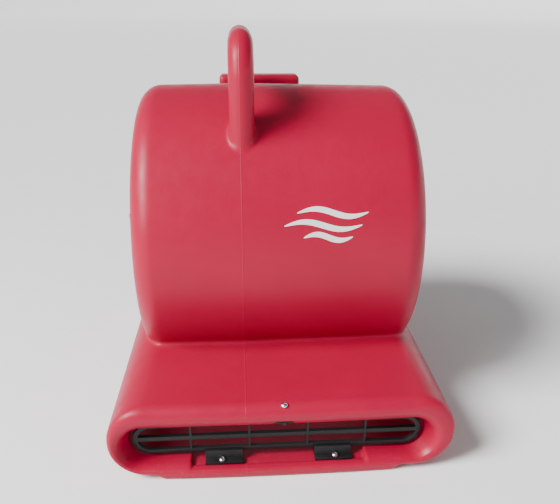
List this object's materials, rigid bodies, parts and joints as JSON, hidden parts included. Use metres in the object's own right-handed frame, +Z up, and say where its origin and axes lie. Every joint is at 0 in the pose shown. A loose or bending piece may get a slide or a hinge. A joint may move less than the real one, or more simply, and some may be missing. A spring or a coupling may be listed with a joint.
{
  "type": "air mover",
  "caption": "Floor carpet dryer: moulded scroll housing with a wide low outlet, loop handle, switch box and a squirrel-cage fan on a speed-switched motor.",
  "frame": {"origin": "on the floor under the middle of the machine's outer box", "axes": "+Z up, the outlet blows towards -Y, +X towards the air intake side; the motor is on the -X side"},
  "size_m": [0.435, 0.51, 0.523],
  "materials": {
    "red_polyethylene": "satin",
    "black_plastic": "satin",
    "switch_plastic": "matte",
    "zinc_steel": "zinc plated",
    "black_paint": "semi-gloss",
    "cast_aluminium": "as cast",
    "lamination_steel": "bare",
    "copper_winding": "enamelled",
    "bearing_steel": "polished",
    "galvanised_sheet": "galvanised",
    "black_oxide": "black oxide",
    "white_plastic": "satin",
    "black_rubber": "matte",
    "red_button": "gloss"
  },
  "bodies": {
    "machine": {"housing": "red_polyethylene", "outlet_grille": "black_plastic", "grille_clip_left": "black_plastic", "grille_clip_right": "black_plastic", "grille_clip_screws": "zinc_steel", "grille_bracket": "black_oxide", "grille_bracket_screw": "zinc_steel", "grille_bracket_nut": "black_oxide", "inlet_ring": "zinc_steel", "intake_guard": "black_plastic", "intake_guard_screws": "zinc_steel", "motor_plate": "black_paint", "motor_guard": "black_plastic", "motor_guard_screws": "zinc_steel", "motor_mount_screws": "zinc_steel", "motor_shell": "black_paint", "motor_bell_rear": "cast_aluminium", "motor_bell_front": "cast_aluminium", "motor_tie_bolts": "zinc_steel", "motor_tie_nuts": "zinc_steel", "stator_core": "lamination_steel", "stator_windings": "copper_winding", "bearing_rear": "bearing_steel", "bearing_front": "bearing_steel", "capacitor": "white_plastic", "capacitor_strap": "zinc_steel", "terminal_block": "white_plastic", "plate_screws": "zinc_steel", "switch_panel": "black_plastic", "switch_panel_screws": "zinc_steel", "speed_switch": "switch_plastic", "speed_switch_nut": "zinc_steel", "breaker": "switch_plastic", "breaker_nut": "zinc_steel", "cable_gland": "black_plastic", "cable_gland_cap": "black_plastic", "cable_gland_locknut": "black_plastic", "foot_front_left": "black_rubber", "foot_front_right": "black_rubber", "foot_rear_left": "black_rubber", "foot_rear_right": "black_rubber", "foot_screws": "zinc_steel"},
    "rotor": {"rotor_shaft": "bearing_steel", "rotor_core": "lamination_steel", "rotor_end_rings": "cast_aluminium", "impeller_hub": "cast_aluminium", "impeller_backplate": "galvanised_sheet", "impeller_blades": "galvanised_sheet", "impeller_ring": "galvanised_sheet", "impeller_setscrew": "black_oxide", "impeller_rivets": "cast_aluminium"},
    "knob": {"speed_knob": "black_plastic", "switch_spindle": "bearing_steel"},
    "button": {"reset_button": "red_button"}
  },
  "joints": [
    {"name": "rotor_spin", "type": "hinge", "parent": "machine", "child": "rotor", "pos_m": [0.003, 0.036, 0.242], "axis": [-1, 0, 0], "continuous": true},
    {"name": "speed_select", "type": "hinge", "parent": "machine", "child": "knob", "pos_m": [-0.035, 0.212, 0.42], "axis": [0, -0.7071, -0.7071], "range_deg": [0, 135]},
    {"name": "breaker_reset", "type": "slide", "parent": "machine", "child": "button", "axis": [0, -0.7071, -0.7071], "range_m": [0, 0.003], "stiffness_N_per_m": 300, "springref_m": -0.002}
  ]
}
